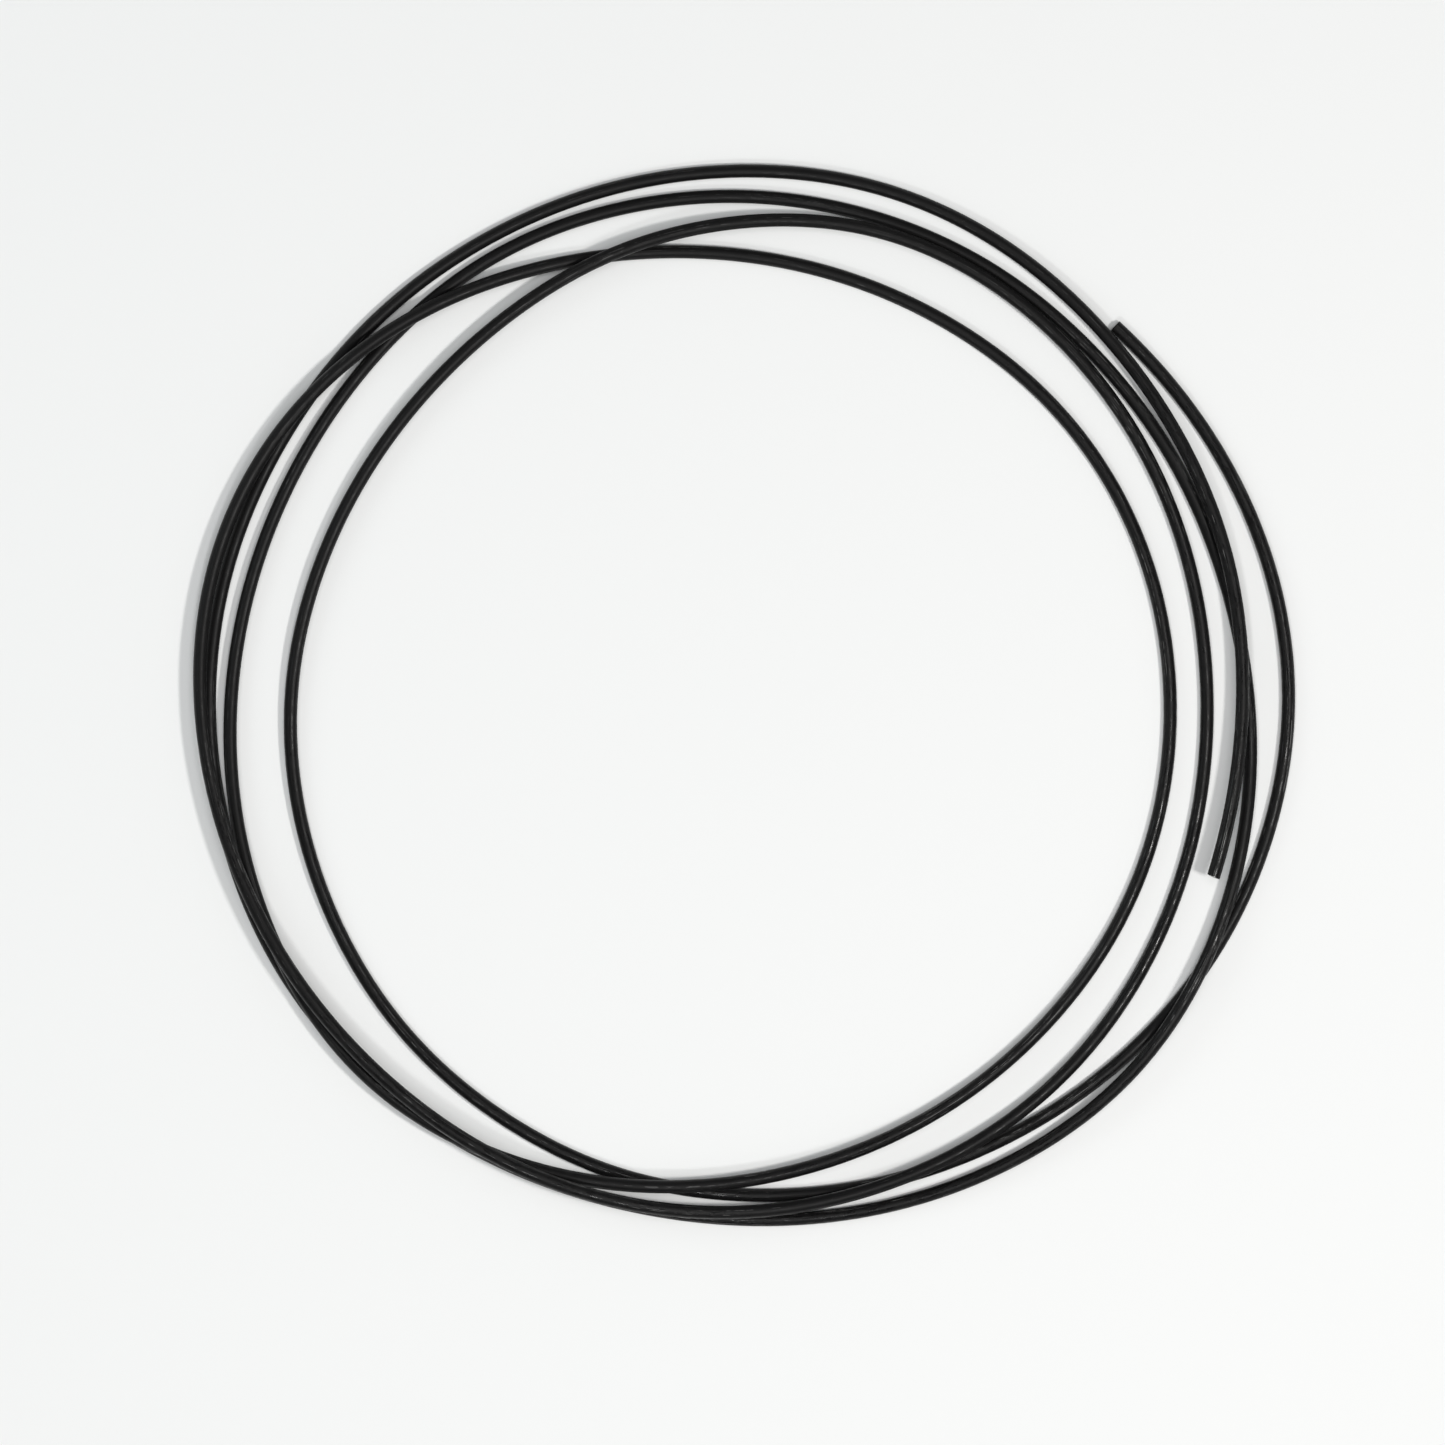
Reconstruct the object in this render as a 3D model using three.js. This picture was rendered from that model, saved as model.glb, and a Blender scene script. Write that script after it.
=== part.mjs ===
// A bare length of 5 mm bicycle brake-cable housing, lying in a loose coil of just over four turns.
// Millimetres, +Z up. The coil lies on Z = 0, with the middle of its box on X = Y = 0.
// Three tubes run one inside another for the whole length, as in the real housing:
// a plastic jacket, a close winding of flat steel wire, and a slippery liner with an open bore.

import * as THREE from 'three';

// Widths of the section, each measured across opposite flats
const JACKET_OUTER = 5.0;
const JACKET_INNER = 3.8;
const WINDING_OUTER = 3.6;
const WINDING_INNER = 2.6;
const LINER_OUTER = 2.4;
const LINER_BORE = 1.9;

// Flats round the section, and straight lengths in the whole housing: almost exactly 55 in each
// turn, so that those of neighbouring turns start and end side by side
const FLATS = 8;
const LENGTHS = 230;

// The middle of the turns, placed so that the coil's box is centred on the origin
const MIDDLE_X = 0.325;
const MIDDLE_Y = -0.106;

// The route runs clockwise as seen from above, from the first cut end to the second. Bearings are
// clockwise from +X, in degrees. It has a station every 15 degrees, and one more before its start.
const FIRST_CUT_BEARING = -45;
const SWEEP = 1506.2;
const STATION_ANGLE = 15;

// How far the housing's axis is from the middle of the turns at each station, a row for each turn
const RADII = [
  193, 194.5, 197.5, 201, 203, 201.5, 199, 195, 191, 188.5, 186, 185,
  181.5, 179, 175, 172, 169.5, 166, 164, 164, 167, 172.5, 176.5, 180.5,

  179.5, 176.5, 174, 172, 171.5, 174, 178, 183, 187, 189.5, 192.5, 194.5,
  195.5, 196, 198, 200.5, 203.5, 204.5, 200, 190.5, 179.5, 170, 163.5, 159.5,

  157.5, 157.5, 157.5, 157.5, 158, 160, 162.5, 165, 169, 174, 180.5, 188.5,
  196, 201.5, 199, 195.5, 191.5, 188.5, 187, 187.5, 189, 187.5, 186, 184.5,

  183.5, 181.5, 182, 183, 187, 192.5, 198, 202, 200, 197.5, 195, 194.5,
  196.5, 199.5, 201, 200.5, 200, 199, 197, 196.5, 195.5, 195.5, 195.5, 196,

  193.5, 189.5, 187.5, 186.5, 184.7, 185.1, 188.7, 194,
];

// How far the housing is lifted off the surface at the same stations, where it rides over itself
const LIFTS = [
  0, 0, 0, 0, 0, 0, 0, 0, 0, 0, 0, 0,
  0, 0, 0, 0.5, 1.5, 2.5, 3, 4, 5.5, 7, 5.5, 4,

  3.5, 2.5, 1, 0, 0, 0, 0, 1.5, 5, 6, 6.5, 10,
  11.5, 11, 11.5, 9, 7.5, 5.5, 4.7, 7.3, 3, 0, 0, 0,

  0, 0, 0, 0, 0, 0, 0.5, 2, 4, 5, 5.5, 5.5,
  5.5, 5.5, 6, 4, 1.5, 1.5, 0.5, 0, 0, 0, 0, 0,

  0, 0, 0, 0, 0.5, 3, 6.5, 5, 1.5, 0, 0, 0,
  0, 0, 0, 0, 0, 0, 0, 0, 0, 0, 0, 0,

  1.5, 3, 4.5, 6, 7.2, 9.6, 12, 14,
];

// A smooth value between the stations: a uniform cubic B-spline, which never overshoots them
function blend(stations, place) {
  const first = Math.min(Math.floor(place), stations.length - 4);
  const t = place - first;
  const [a, b, c, d] = stations.slice(first, first + 4);
  const weightA = (1 - t) ** 3;
  const weightB = 3 * t ** 3 - 6 * t ** 2 + 4;
  const weightC = 3 * (t + t ** 2 - t ** 3) + 1;
  const weightD = t ** 3;
  return (weightA * a + weightB * b + weightC * c + weightD * d) / 6;
}

class Route extends THREE.Curve {
  getPoint(share, point = new THREE.Vector3()) {
    const turned = share * SWEEP;
    const place = turned / STATION_ANGLE;
    const bearing = THREE.MathUtils.degToRad(FIRST_CUT_BEARING + turned);
    const radius = blend(RADII, place);
    const x = MIDDLE_X + radius * Math.cos(bearing);
    const y = MIDDLE_Y - radius * Math.sin(bearing);
    const z = JACKET_OUTER / 2 + blend(LIFTS, place);
    return point.set(x, y, z);
  }

  // Even steps of bearing instead of even steps of length
  getUtoTmapping(share) {
    return share;
  }

  // The section stays upright all the way round, so that the same flat always faces down
  computeFrenetFrames(steps) {
    const up = new THREE.Vector3(0, 0, 1);
    const frames = { tangents: [], normals: [], binormals: [] };
    for (let i = 0; i <= steps; i += 1) {
      const along = this.getTangentAt(i / steps);
      const sideways = new THREE.Vector3().crossVectors(up, along).normalize();
      frames.tangents.push(along);
      frames.normals.push(sideways);
      frames.binormals.push(new THREE.Vector3().crossVectors(along, sideways));
    }
    return frames;
  }
}

// The corners of one regular outline, with a flat at its bottom
function corners(acrossFlats) {
  const reach = acrossFlats / 2 / Math.cos(Math.PI / FLATS);
  const points = [];
  for (let i = 0; i < FLATS; i += 1) {
    const angle = ((i + 0.5) * 2 * Math.PI) / FLATS;
    points.push(new THREE.Vector2(reach * Math.cos(angle), reach * Math.sin(angle)));
  }
  return points;
}

// One tube of the housing, swept along the whole route and cut square at both ends
function tube(name, outer, inner, material) {
  const section = new THREE.Shape(corners(outer));
  section.holes.push(new THREE.Path(corners(inner)));
  const sweep = { steps: LENGTHS, extrudePath: new Route(), bevelEnabled: false };
  const mesh = new THREE.Mesh(new THREE.ExtrudeGeometry(section, sweep), material);
  mesh.name = name;
  return mesh;
}

const blackPlastic = new THREE.MeshStandardMaterial({ color: 0x1d1d1f, roughness: 0.6, metalness: 0 });
const steelWire = new THREE.MeshStandardMaterial({ color: 0xa3a5a8, roughness: 0.35, metalness: 1 });
const clearLiner = new THREE.MeshStandardMaterial({ color: 0xd9dad4, roughness: 0.45, metalness: 0 });

const housing = new THREE.Group();
housing.name = 'brake_cable_housing';
housing.add(
  tube('outer_jacket', JACKET_OUTER, JACKET_INNER, blackPlastic),
  tube('wire_winding', WINDING_OUTER, WINDING_INNER, steelWire),
  tube('inner_liner', LINER_OUTER, LINER_BORE, clearLiner),
);

export default housing;
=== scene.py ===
"""Looks of a bare length of 5 mm bicycle brake-cable housing, lying in a loose coil.

Metres, +Z up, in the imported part's frame. Each of the part's three plain tubes is replaced by a fine
round one on the same route.
"""

import math

import bpy
import numpy as np
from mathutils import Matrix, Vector


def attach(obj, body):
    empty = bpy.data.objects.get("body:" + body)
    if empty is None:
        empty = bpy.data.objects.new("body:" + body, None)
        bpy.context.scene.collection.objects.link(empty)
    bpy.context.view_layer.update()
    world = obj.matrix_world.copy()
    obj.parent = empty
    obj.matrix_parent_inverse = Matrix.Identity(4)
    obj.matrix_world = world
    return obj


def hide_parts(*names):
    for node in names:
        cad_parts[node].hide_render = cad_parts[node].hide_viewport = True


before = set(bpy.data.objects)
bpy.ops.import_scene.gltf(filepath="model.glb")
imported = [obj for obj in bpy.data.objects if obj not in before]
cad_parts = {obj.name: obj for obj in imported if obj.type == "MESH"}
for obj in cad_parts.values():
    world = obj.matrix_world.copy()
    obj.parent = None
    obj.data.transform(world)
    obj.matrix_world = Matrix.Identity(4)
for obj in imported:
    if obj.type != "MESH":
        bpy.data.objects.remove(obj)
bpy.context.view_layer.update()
MM = 0.001

# ---------------------------------------------------------------- the housing's sizes

# Radii
JACKET_OUTER = 2.5 * MM
JACKET_INNER = 1.9 * MM
WINDING_OUTER = 1.85 * MM
WINDING_INNER = 1.28 * MM
LINER_OUTER = 1.24 * MM
LINER_BORE = 0.95 * MM

# How far the winding and the liner stand out of the jacket at both cuts
WINDING_PROUD = 0.12 * MM
LINER_PROUD = 0.2 * MM

# ---------------------------------------------------------------- the route, as the CAD part has it

# It runs clockwise as seen from above. Bearings are clockwise from +X, in degrees.
MIDDLE_X = 0.325 * MM
MIDDLE_Y = -0.106 * MM
FIRST_CUT_BEARING = -45
SWEEP = 1506.2
STATION_ANGLE = 15

# How far the axis is from the middle of the turns, in mm, every 15 degrees, a row for each turn
RADII = [
    193, 194.5, 197.5, 201, 203, 201.5, 199, 195, 191, 188.5, 186, 185,
    181.5, 179, 175, 172, 169.5, 166, 164, 164, 167, 172.5, 176.5, 180.5,

    179.5, 176.5, 174, 172, 171.5, 174, 178, 183, 187, 189.5, 192.5, 194.5,
    195.5, 196, 198, 200.5, 203.5, 204.5, 200, 190.5, 179.5, 170, 163.5, 159.5,

    157.5, 157.5, 157.5, 157.5, 158, 160, 162.5, 165, 169, 174, 180.5, 188.5,
    196, 201.5, 199, 195.5, 191.5, 188.5, 187, 187.5, 189, 187.5, 186, 184.5,

    183.5, 181.5, 182, 183, 187, 192.5, 198, 202, 200, 197.5, 195, 194.5,
    196.5, 199.5, 201, 200.5, 200, 199, 197, 196.5, 195.5, 195.5, 195.5, 196,

    193.5, 189.5, 187.5, 186.5, 184.7, 185.1, 188.7, 194,
]

# How far it is lifted off the surface at the same stations, in mm, where it rides over itself
LIFTS = [
    0, 0, 0, 0, 0, 0, 0, 0, 0, 0, 0, 0,
    0, 0, 0, 0.5, 1.5, 2.5, 3, 4, 5.5, 7, 5.5, 4,

    3.5, 2.5, 1, 0, 0, 0, 0, 1.5, 5, 6, 6.5, 10,
    11.5, 11, 11.5, 9, 7.5, 5.5, 4.7, 7.3, 3, 0, 0, 0,

    0, 0, 0, 0, 0, 0, 0.5, 2, 4, 5, 5.5, 5.5,
    5.5, 5.5, 6, 4, 1.5, 1.5, 0.5, 0, 0, 0, 0, 0,

    0, 0, 0, 0, 0.5, 3, 6.5, 5, 1.5, 0, 0, 0,
    0, 0, 0, 0, 0, 0, 0, 0, 0, 0, 0, 0,

    1.5, 3, 4.5, 6, 7.2, 9.6, 12, 14,
]


def blend(stations, place):
    """A smooth value between the stations at each place: a uniform cubic B-spline, which never overshoots."""
    stations = np.array(stations, float)
    first = np.minimum(np.floor(place).astype(int), len(stations) - 4)
    t = place - first
    a, b, c, d = (stations[first + k] for k in range(4))
    return (
        (1 - t) ** 3 * a
        + (3 * t**3 - 6 * t**2 + 4) * b
        + (3 * (t + t**2 - t**3) + 1) * c
        + t**3 * d
    ) / 6


def route_points(turned):
    """The axis of the housing, in metres, where it has turned by so many degrees."""
    place = turned / STATION_ANGLE
    bearing = np.radians(FIRST_CUT_BEARING + turned)
    radius = blend(RADII, place) * MM
    height = JACKET_OUTER + blend(LIFTS, place) * MM
    x = MIDDLE_X + radius * np.cos(bearing)
    y = MIDDLE_Y - radius * np.sin(bearing)
    return np.stack([x, y, height], 1)


# The route in steps of about 0.2 mm, and each step's distance from the first cut
FINE_STEPS = 24000
FINE = route_points(np.linspace(0, SWEEP, FINE_STEPS + 1))
FINE_S = np.concatenate([[0], np.cumsum(np.linalg.norm(np.diff(FINE, axis=0), axis=1))])
LENGTH = float(FINE_S[-1])


def at(s):
    """The axis point and the sideways, upward and forward directions, at each distance from the first cut."""
    s = np.asarray(s, float)
    inside = np.clip(s, 0, LENGTH)

    def point(distance):
        return np.stack([np.interp(distance, FINE_S, FINE[:, k]) for k in range(3)], 1)

    reach = 0.5 * MM
    ahead = np.minimum(inside + reach, LENGTH)
    behind = np.maximum(inside - reach, 0)
    forward = point(ahead) - point(behind)
    forward /= np.linalg.norm(forward, axis=1, keepdims=True)
    sideways = np.cross([0, 0, 1.0], forward)
    sideways /= np.linalg.norm(sideways, axis=1, keepdims=True)
    upward = np.cross(forward, sideways)
    axis = point(inside) + (s - inside)[:, None] * forward
    return axis, sideways, upward, forward


# ---------------------------------------------------------------- tubes

# How far inside each cut the bore's short first step ends, and its even steps start
BORE_EDGE = 0.25 * MM
BORE_INSET = 2 * MM


def even_steps(start, stop, step):
    """Distances from start to stop, as near to step apart as fits."""
    return np.linspace(start, stop, max(2, round((stop - start) / step) + 1))


def wall(step, outer, inner, lip, near, near_step, proud=0.0):
    """The loops of one tube, each a distance and a radius: along its outside and back along its bore.

    lip is how round the cuts' outer edges are, and proud is how far both cuts stand out of the jacket's.
    Outside, the loops are near_step apart within near of a cut, and step apart elsewhere.
    """
    start, stop = -proud, LENGTH + proud
    corner = [(lip * (1 - math.sin(a)), outer - lip * (1 - math.cos(a))) for a in np.radians([90, 60, 30, 0])]
    close = even_steps(start + lip, start + lip + near, near_step)[:-1]
    between = even_steps(start + lip + near, stop - lip - near, step)
    loops = [(start + d, r) for d, r in corner[:-1]]
    loops += [(s, outer) for s in np.concatenate([close, between, (stop + start) - close[::-1]])]
    loops += [(stop - d, r) for d, r in corner[-2::-1]]

    middle = (outer + inner) / 2
    loops += [(stop, middle), (stop, inner), (stop - BORE_EDGE, inner)]
    loops += [(s, inner) for s in even_steps(start + BORE_INSET, stop - BORE_INSET, step)[::-1]]
    loops += [(start + BORE_EDGE, inner), (start, inner), (start, middle)]
    return loops


def tube(name, sides, loops, trim):
    """A closed tube through the loops. trim(distance, angle, radius) moves its points forward, at the cuts.

    Its straight attribute is each point's place on the straightened housing: along, across and above.
    """
    s = np.array([loop[0] for loop in loops])
    radius = np.array([loop[1] for loop in loops])
    angle = (np.arange(sides) + 0.5) * 2 * math.pi / sides - math.pi / 2
    axis, sideways, upward, forward = at(s)
    across = radius[:, None] * np.cos(angle)
    above = radius[:, None] * np.sin(angle)
    along = trim(s[:, None], angle[None, :], radius[:, None])
    verts = (
        axis[:, None, :]
        + across[..., None] * sideways[:, None, :]
        + above[..., None] * upward[:, None, :]
        + along[..., None] * forward[:, None, :]
    )
    straight = np.stack([s[:, None] + along, across, above], 2)

    here = np.arange(len(s))[:, None] * sides + np.arange(sides)[None, :]
    turn = np.roll(here, -1, 1)
    ahead, ahead_turn = np.roll(here, -1, 0), np.roll(turn, -1, 0)
    faces = np.stack([here, turn, ahead_turn, ahead], 2).reshape(-1, 4)

    mesh = bpy.data.meshes.new(name)
    mesh.from_pydata(verts.reshape(-1, 3).tolist(), [], faces.tolist())
    mesh.update()
    place = mesh.attributes.new("straight", "FLOAT_VECTOR", "POINT")
    place.data.foreach_set("vector", straight.astype(np.float32).ravel())
    mesh.shade_smooth()
    made = bpy.data.objects.new(name, mesh)
    bpy.context.scene.collection.objects.link(made)
    return made


# ---------------------------------------------------------------- cut ends

# The second cut is aslant: so much further forward at the jacket's one side, and back at the other
SLANT = 0.32 * MM

# The trims are whole this far past the housing's ends, which is past the furthest cut face
PAST_CUT = 0.3 * MM

# The gap between the wire's last turns shows as a ramp of this height, over this share of a turn
WIRE_STEP = 0.35 * MM
WIRE_STEP_SHARE = 0.16


def end_shares(s, reach):
    """How much each cut's trim counts at s: 1 just past the cut, falling to 0 over a length of reach."""
    first = np.clip(1 - (s + PAST_CUT) / reach, 0, 1)
    second = np.clip(1 - (LENGTH + PAST_CUT - s) / reach, 0, 1)
    return first, second


def slant(angle, radius):
    """How far the second cut's face is forward of square."""
    return SLANT * np.cos(angle) * radius / JACKET_OUTER


def jacket_trim(s, angle, radius):
    """Both cuts are slightly uneven."""
    first, second = end_shares(s, 3 * MM)
    wobble = 0.05 * MM * np.sin(3 * angle + 0.6) + 0.03 * MM * np.sin(7 * angle)
    return first * wobble + second * (slant(angle, radius) + wobble)


def winding_trim(s, angle, radius):
    """The wire's last turn ends in a step in each cut face."""
    first, second = end_shares(s, 1 * MM)
    turned = (angle + math.pi / 2) / (2 * math.pi)
    ramp = np.where(turned < WIRE_STEP_SHARE, 1 - turned / WIRE_STEP_SHARE, 0) * WIRE_STEP
    return first * ramp + second * (slant(angle, radius) - ramp)


def liner_trim(s, angle, radius):
    """The liner is cut clean."""
    second = end_shares(s, 2 * MM)[1]
    return second * slant(angle, radius)


# ---------------------------------------------------------------- materials


class Nodes:
    """A material's nodes, made with short calls."""

    def __init__(self, name):
        self.material = bpy.data.materials.new(name)
        self.material.use_nodes = True
        self.tree = self.material.node_tree
        self.shader = self.tree.nodes["Principled BSDF"]

    def new(self, kind, **values):
        made = self.tree.nodes.new(kind)
        for key, value in values.items():
            setattr(made, key, value)
        return made

    def put(self, value, socket):
        """Links an output to the socket, or sets the socket to a value."""
        if isinstance(value, bpy.types.NodeSocket):
            self.tree.links.new(value, socket)
        else:
            socket.default_value = value

    def set(self, **inputs):
        """Puts values on the shader's sockets, with _ for a space in a socket's name."""
        for name, value in inputs.items():
            self.put(value, self.shader.inputs[name.replace("_", " ")])

    def straight(self, scale):
        """The point's place on the straightened housing, in mm, times scale: along, across, above."""
        place = self.new("ShaderNodeAttribute", attribute_name="straight")
        times = self.new("ShaderNodeVectorMath", operation="MULTIPLY")
        self.put(place.outputs["Vector"], times.inputs[0])
        self.put([k / MM for k in scale], times.inputs[1])
        return times.outputs[0]

    def towards(self, direction):
        """How far the point lies from the coil's middle in a direction, in metres."""
        place = self.new("ShaderNodeTexCoord")
        dot = self.new("ShaderNodeVectorMath", operation="DOT_PRODUCT")
        self.put(place.outputs["Object"], dot.inputs[0])
        self.put(direction, dot.inputs[1])
        return dot.outputs["Value"]

    def noise(self, scale, detail=2.0, roughness=0.5, shift=0.0):
        """Noise between 0 and 1 on the straightened housing; scale is in cells per mm."""
        made = self.new("ShaderNodeTexNoise", noise_dimensions="4D")
        self.put(self.straight(scale), made.inputs["Vector"])
        self.put(1.0, made.inputs["Scale"])
        self.put(detail, made.inputs["Detail"])
        self.put(roughness, made.inputs["Roughness"])
        self.put(shift, made.inputs["W"])
        return made.outputs["Fac"]

    def span(self, value, low, high, to_low=0.0, to_high=1.0, smooth=True):
        """value from low..high to to_low..to_high, held at the ends."""
        made = self.new("ShaderNodeMapRange", interpolation_type="SMOOTHSTEP" if smooth else "LINEAR")
        self.put(value, made.inputs["Value"])
        for socket, number in zip(("From Min", "From Max", "To Min", "To Max"), (low, high, to_low, to_high)):
            self.put(number, made.inputs[socket])
        return made.outputs["Result"]

    def math(self, operation, a, b):
        made = self.new("ShaderNodeMath", operation=operation)
        self.put(a, made.inputs[0])
        self.put(b, made.inputs[1])
        return made.outputs[0]

    def times(self, a, b):
        return self.math("MULTIPLY", a, b)

    def mix(self, share, a, b):
        """Colour a, turning to b as share goes from 0 to 1."""
        made = self.new("ShaderNodeMix", data_type="RGBA")
        factor, colour_a, colour_b = made.inputs[0], made.inputs[6], made.inputs[7]
        self.put(share, factor)
        for value, socket in ((a, colour_a), (b, colour_b)):
            self.put(value if isinstance(value, bpy.types.NodeSocket) else (*value, 1), socket)
        return made.outputs[2]

    def bump(self, height, distance, strength, before=None):
        """The normal with this relief on it, on top of the relief before."""
        made = self.new("ShaderNodeBump")
        self.put(strength, made.inputs["Strength"])
        self.put(distance, made.inputs["Distance"])
        self.put(height, made.inputs["Height"])
        if before:
            self.put(before, made.inputs["Normal"])
        return made.outputs["Normal"]


# The side of the coil, from its middle, towards which the rubbed places and their painted highlight lines are
# stronger
RUBBED_AND_HIGHLIGHT_SIDE = (0.38, -0.92, 0)


def jacket_material():
    """Black extruded plastic: fine grain and draw lines, with rubbed places, broken along its length, that
    are smoother and carry light-grey lines, partly scuffs and partly a painted highlight. Towards one side of
    the coil the rubbed places and their painted highlight lines are stronger."""
    n = Nodes("black_jacket")
    lines = n.noise((0.015, 3.0, 3.0), detail=3, roughness=0.6, shift=1.3)
    patches = n.noise((0.012, 0.1, 0.1), detail=2, shift=18.4)
    broken = n.noise((0.22, 1.3, 1.3), detail=3, roughness=0.65, shift=7.7)
    grain = n.noise((9, 9, 9), detail=2, roughness=0.6, shift=2.9)
    flecks = n.noise((1.6, 3.5, 3.5), detail=1, shift=5.5)

    # Towards one side of the coil the rubbed places, and the painted highlight lines on them, grow stronger
    rubbed_and_highlight_side_share = n.span(n.towards(RUBBED_AND_HIGHLIGHT_SIDE), -120 * MM, -10 * MM, 0.35, 1.0)
    worn = n.times(n.span(patches, 0.4, 0.55, 0.5, 1.0), rubbed_and_highlight_side_share)
    rubbed = n.times(n.span(broken, 0.46, 0.6), worn)
    # Light-grey lines on the rubbed places: partly scuffs, partly a painted highlight along the tube's lit
    # side
    scuff_and_highlight_line = n.times(n.span(lines, 0.58, 0.65), rubbed)
    fleck = n.span(flecks, 0.75, 0.8)

    tone = n.span(patches, 0.3, 0.7, 0.3, 0.7, smooth=False)
    base = n.mix(tone, (0.0033, 0.0032, 0.0034), (0.006, 0.0058, 0.0058))
    # Painted highlight: the light-grey lines mixed into the black stand partly for scuffs, partly for the
    # lamp's glint
    scuffs_and_painted_highlight = n.mix(n.times(scuff_and_highlight_line, 0.7), base, (0.2, 0.2, 0.197))
    colour = n.mix(n.times(fleck, 0.35), scuffs_and_painted_highlight, (0.16, 0.155, 0.15))

    matte = n.span(grain, 0.3, 0.7, 0.46, 0.54, smooth=False)
    polished = n.math("SUBTRACT", matte, n.times(rubbed, 0.31))

    drawn = n.bump(lines, 0.02 * MM, 0.6)
    grained = n.bump(grain, 0.01 * MM, 0.5, before=drawn)
    n.set(Base_Color=colour, Roughness=polished, IOR=1.45, Specular_IOR_Level=0.27, Normal=grained)
    return n.material


def winding_material():
    """Drawn steel, brushed round the wire's turns, a little dull."""
    n = Nodes("wound_steel")
    drawn = n.noise((12, 1.2, 1.2), detail=2, shift=3.3)
    dull = n.noise((1.5, 1.5, 1.5), detail=3, shift=8.8)
    n.set(
        Base_Color=n.mix(dull, (0.24, 0.24, 0.245), (0.5, 0.5, 0.51)),
        Metallic=1.0,
        Roughness=n.span(drawn, 0.3, 0.7, 0.28, 0.45, smooth=False),
        Normal=n.bump(drawn, 0.02 * MM, 0.6),
    )
    return n.material


def liner_material():
    """Milky, slippery plastic with faint draw lines."""
    n = Nodes("milky_liner")
    lines = n.noise((0.3, 6, 6), detail=2, shift=6.1)
    n.set(
        Base_Color=n.mix(lines, (0.56, 0.57, 0.53), (0.68, 0.69, 0.65)),
        Roughness=n.span(lines, 0.3, 0.7, 0.3, 0.42, smooth=False),
        Normal=n.bump(lines, 0.01 * MM, 0.5),
    )
    return n.material


# ---------------------------------------------------------------- the three pieces

jacket_wall = wall(4 * MM, JACKET_OUTER, JACKET_INNER, 0.12 * MM, near=6 * MM, near_step=0.5 * MM)
winding_wall = wall(
    8 * MM, WINDING_OUTER, WINDING_INNER, 0.05 * MM, near=3 * MM, near_step=0.25 * MM, proud=WINDING_PROUD
)
liner_wall = wall(
    8 * MM, LINER_OUTER, LINER_BORE, 0.05 * MM, near=3 * MM, near_step=0.5 * MM, proud=LINER_PROUD
)

jacket = tube("black_jacket", 36, jacket_wall, jacket_trim)
winding = tube("steel_winding", 48, winding_wall, winding_trim)
liner = tube("milky_liner", 24, liner_wall, liner_trim)

for piece, material, node, slot in (
    (jacket, jacket_material(), "outer_jacket", "jacket"),
    (winding, winding_material(), "wire_winding", "winding"),
    (liner, liner_material(), "inner_liner", "liner"),
):
    piece.data.materials.append(material)
    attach(piece, "root")
    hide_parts(node)

at(even_steps(0, LENGTH, 4 * MM))[0]

# ---------------------------------------------------------------- camera, floor and light

# The camera looks straight down from far off, at a point a little off the coil's middle
AIM = Vector((-8.30 * MM, -10.19 * MM, 0))
HALF_WIDTH = 269.5 * MM
CAMERA_HEIGHT = 6.0
SENSOR_WIDTH = 36

camera_data = bpy.data.cameras.new("camera")
camera_data.sensor_width = SENSOR_WIDTH
camera_data.lens = SENSOR_WIDTH / 2 / (HALF_WIDTH / CAMERA_HEIGHT)
camera_data.clip_end = 50
camera = bpy.data.objects.new("camera", camera_data)
camera.location = AIM + Vector((0, 0, CAMERA_HEIGHT))
bpy.context.scene.collection.objects.link(camera)
bpy.context.scene.camera = camera

FLOOR_REACH = 12
floor_corners = [(FLOOR_REACH * x, FLOOR_REACH * y, 0) for x, y in ((-1, -1), (1, -1), (1, 1), (-1, 1))]
floor_data = bpy.data.meshes.new("floor")
floor_data.from_pydata(floor_corners, [], [(0, 1, 2, 3)])
floor = bpy.data.objects.new("floor", floor_data)
bpy.context.scene.collection.objects.link(floor)
paper = Nodes("pale_floor")
paper.set(Base_Color=(0.812, 0.818, 0.815, 1), Roughness=0.9, Specular_IOR_Level=0.1)
floor_data.materials.append(paper.material)


def add_lamp(data, where, towards, tint):
    """Adds a lamp at a point. It shines the opposite way to towards."""
    data.color = tint
    made = bpy.data.objects.new(data.name, data)
    made.location = where
    made.rotation_mode = "QUATERNION"
    made.rotation_quaternion = Vector(towards).to_track_quat("Z", "Y")
    made.visible_camera = False
    bpy.context.scene.collection.objects.link(made)
    return made


def far_lamp(name, towards, strength, width_degrees, tint=(1, 1, 1)):
    """Even light from one side of the studio; towards points from the part to the lamp."""
    data = bpy.data.lights.new(name, "SUN")
    data.energy = strength
    data.angle = math.radians(width_degrees)
    return add_lamp(data, (0, 0, 3), towards, tint)


def near_lamp(name, where, power, across, tint=(1, 1, 1)):
    """A round lamp above the table, aimed at the coil's middle."""
    data = bpy.data.lights.new(name, "AREA")
    data.shape = "DISK"
    data.size = across
    data.energy = power
    return add_lamp(data, where, where, tint)


near_lamp("key", (1.0, -0.33, 2.2), 26.7, 0.28, (1, 0.985, 0.965))
near_lamp("front_fill", (-0.12, -0.9, 1.65), 5.6, 0.24)
near_lamp("left_fill", (-1.0, 0.35, 0.8), 1.9, 0.8, (0.9, 0.98, 1))
overhead = far_lamp("overhead", (0.0, 0.0, 1), 1.13, 34)

# The camera stands in the way of the overhead light's reflection in the housing
overhead.visible_glossy = False

world = bpy.data.worlds.new("studio")
world.use_nodes = True
sky = world.node_tree.nodes["Background"]
sky.inputs["Color"].default_value = (0.97, 0.99, 1, 1)
sky.inputs["Strength"].default_value = 0.18
bpy.context.scene.world = world
bpy.context.scene.view_settings.view_transform = "Standard"
